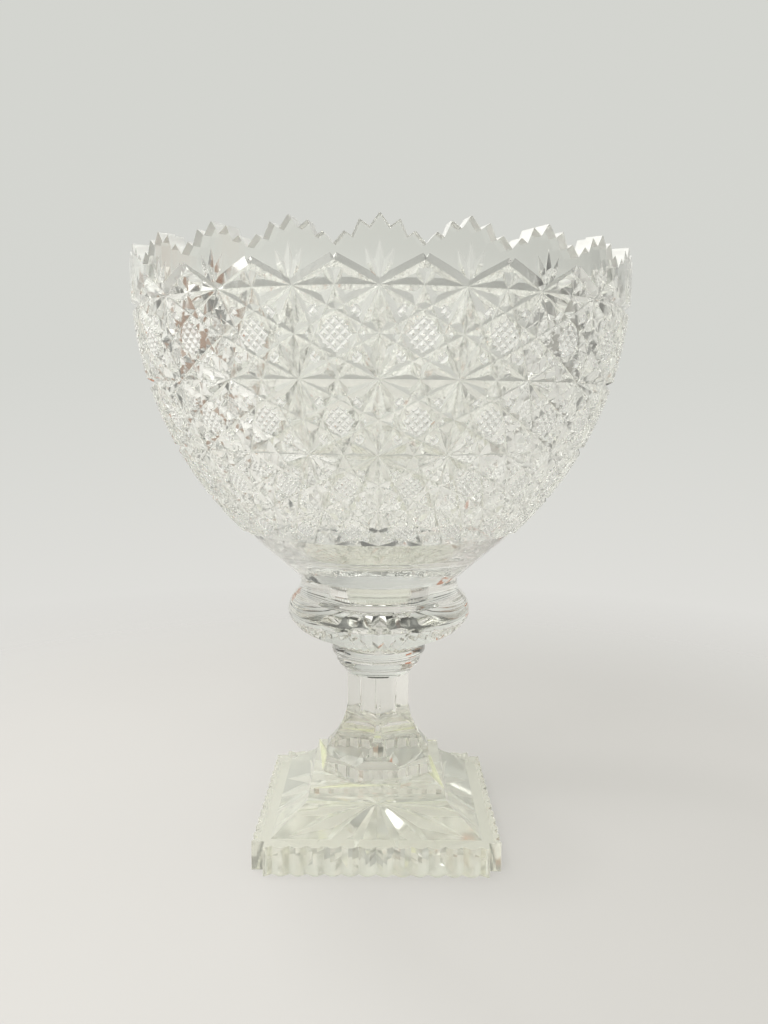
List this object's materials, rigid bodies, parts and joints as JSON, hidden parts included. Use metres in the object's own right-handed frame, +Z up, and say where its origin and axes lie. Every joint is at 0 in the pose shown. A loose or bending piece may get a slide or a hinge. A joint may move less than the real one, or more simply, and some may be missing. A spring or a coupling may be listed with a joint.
{
  "type": "pedestal punch bowl",
  "caption": "Deep cut-glass punch bowl with a scalloped, toothed rim, lifting off a stand with a fluted knop, flared square stem and stepped square foot.",
  "frame": {"origin": "centre of the foot's underside, on the surface that the bowl stands on", "axes": "+Z up along the bowl's axis, -Y to the front, square across the foot's front side, +X to the right"},
  "size_m": [0.258, 0.258, 0.31],
  "materials": {
    "clear_glass": "clear cut glass, fire polished and acid polished, faint grey-green tint",
    "foot_glass": "clear cut glass in a thick section, so a little greener"
  },
  "bodies": {
    "stand": {"foot_slab": "foot_glass", "foot_block": "foot_glass", "stem": "clear_glass", "lower_collar": "clear_glass", "upper_collar": "clear_glass", "knop": "clear_glass"},
    "bowl": {"bowl": "clear_glass"}
  },
  "joints": [
    {"name": "bowl_lift", "type": "slide", "parent": "stand", "child": "bowl", "axis": [0, 0, 1], "range_m": [0, 0.06]}
  ]
}
